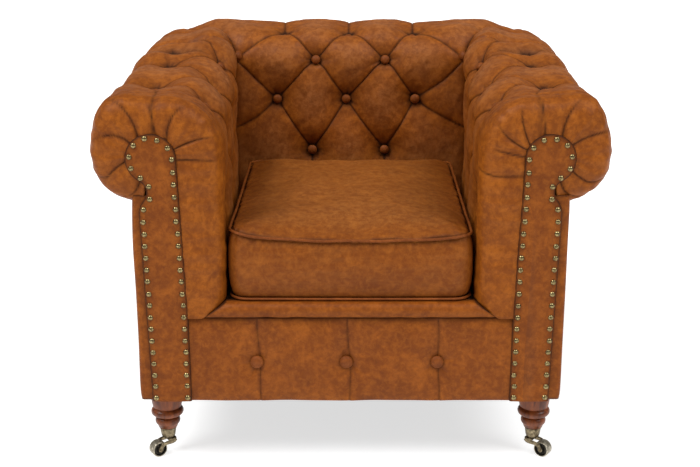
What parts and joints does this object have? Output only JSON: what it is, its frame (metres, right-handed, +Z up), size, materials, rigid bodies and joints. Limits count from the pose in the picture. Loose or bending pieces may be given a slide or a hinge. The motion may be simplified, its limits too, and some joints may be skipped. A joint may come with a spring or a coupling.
{
  "type": "upholstered armchair",
  "caption": "Rolled-arm club chair with deep-buttoned leather, nailed scroll facings, a loose seat cushion, and turned front legs on swivelling brass casters.",
  "frame": {"origin": "on the floor under the middle of the chair's outline", "axes": "+X across the chair to the viewer's right, +Y from the front to the back, +Z up; the front faces -Y"},
  "size_m": [0.98, 0.9, 0.79],
  "materials": {
    "leather": "matte to satin cognac leather, cloudy",
    "frame_wood": "sawn beech",
    "leg_wood": "satin, stained reddish brown",
    "bolt_steel": "zinc plated",
    "spring_steel": "oiled wire",
    "deck_cloth": "plain woven",
    "cambric": "thin non-woven cloth",
    "jute": "coarse hessian",
    "foam": "open-cell foam",
    "nail_brass": "antiqued, polished crown",
    "zip_tape": "woven tape",
    "zip_brass": "antiqued",
    "caster_brass": "antiqued",
    "wheel_metal": "worn plating"
  },
  "bodies": {
    "root": {"front_rail": "frame_wood", "rear_rail": "frame_wood", "side_rail_left": "frame_wood", "side_rail_right": "frame_wood", "scroll_board_left": "frame_wood", "scroll_board_right": "frame_wood", "back_post_left": "frame_wood", "back_post_right": "frame_wood", "arm_plank_left": "frame_wood", "arm_plank_right": "frame_wood", "back_plank": "frame_wood", "arm_stay_left": "frame_wood", "arm_stay_right": "frame_wood", "back_stay": "frame_wood", "corner_blocks": "frame_wood", "hanger_bolts": "bolt_steel", "front_leg_left": "leg_wood", "front_leg_right": "leg_wood", "rear_leg_left": "leg_wood", "rear_leg_right": "leg_wood", "seat_springs": "spring_steel", "spring_clips": "spring_steel", "deck_pad": "deck_cloth", "front_lip": "leather", "dust_cover": "cambric", "arm_lining_left": "jute", "arm_lining_right": "jute", "back_lining": "jute", "arm_foam_left": "foam", "arm_foam_right": "foam", "back_foam": "foam", "inside_arm_left": "leather", "inside_arm_right": "leather", "inside_back": "leather", "outside_arm_left": "leather", "outside_arm_right": "leather", "outside_back": "leather", "front_border": "leather", "facing_left": "leather", "facing_right": "leather", "nails_left": "nail_brass", "nails_right": "nail_brass", "arm_buttons_left": "leather", "arm_buttons_right": "leather", "back_buttons": "leather", "border_buttons": "leather", "caster_cup_left": "caster_brass", "caster_cup_right": "caster_brass"},
    "seat_cushion": {"cushion_cover": "leather", "cushion_core": "foam", "piping_top": "leather", "piping_bottom": "leather", "cushion_zip": "zip_tape"},
    "slider": {"zip_slider": "zip_brass"},
    "caster_left": {"caster_fork_left": "caster_brass", "caster_axle_left": "caster_brass"},
    "wheel_left": {"caster_wheel_left": "wheel_metal"},
    "caster_right": {"caster_fork_right": "caster_brass", "caster_axle_right": "caster_brass"},
    "wheel_right": {"caster_wheel_right": "wheel_metal"}
  },
  "joints": [
    {"name": "cushion_lift", "type": "slide", "parent": "root", "child": "seat_cushion", "axis": [0, 0, 1], "range_m": [0, 0.35]},
    {"name": "zip_slide", "type": "slide", "parent": "seat_cushion", "child": "slider", "axis": [-1, 0, 0], "range_m": [0, 0.35]},
    {"name": "swivel_left", "type": "hinge", "parent": "root", "child": "caster_left", "pos_m": [-0.373, -0.365, 0.036], "axis": [0, 0, 1], "continuous": true},
    {"name": "roll_left", "type": "hinge", "parent": "caster_left", "child": "wheel_left", "pos_m": [-0.39307, -0.37905, 0.016], "axis": [-0.5736, 0.8192, 0], "continuous": true},
    {"name": "swivel_right", "type": "hinge", "parent": "root", "child": "caster_right", "pos_m": [0.373, -0.365, 0.036], "axis": [0, 0, 1], "continuous": true},
    {"name": "roll_right", "type": "hinge", "parent": "caster_right", "child": "wheel_right", "pos_m": [0.39307, -0.37905, 0.016], "axis": [0.5736, 0.8192, 0], "continuous": true}
  ]
}
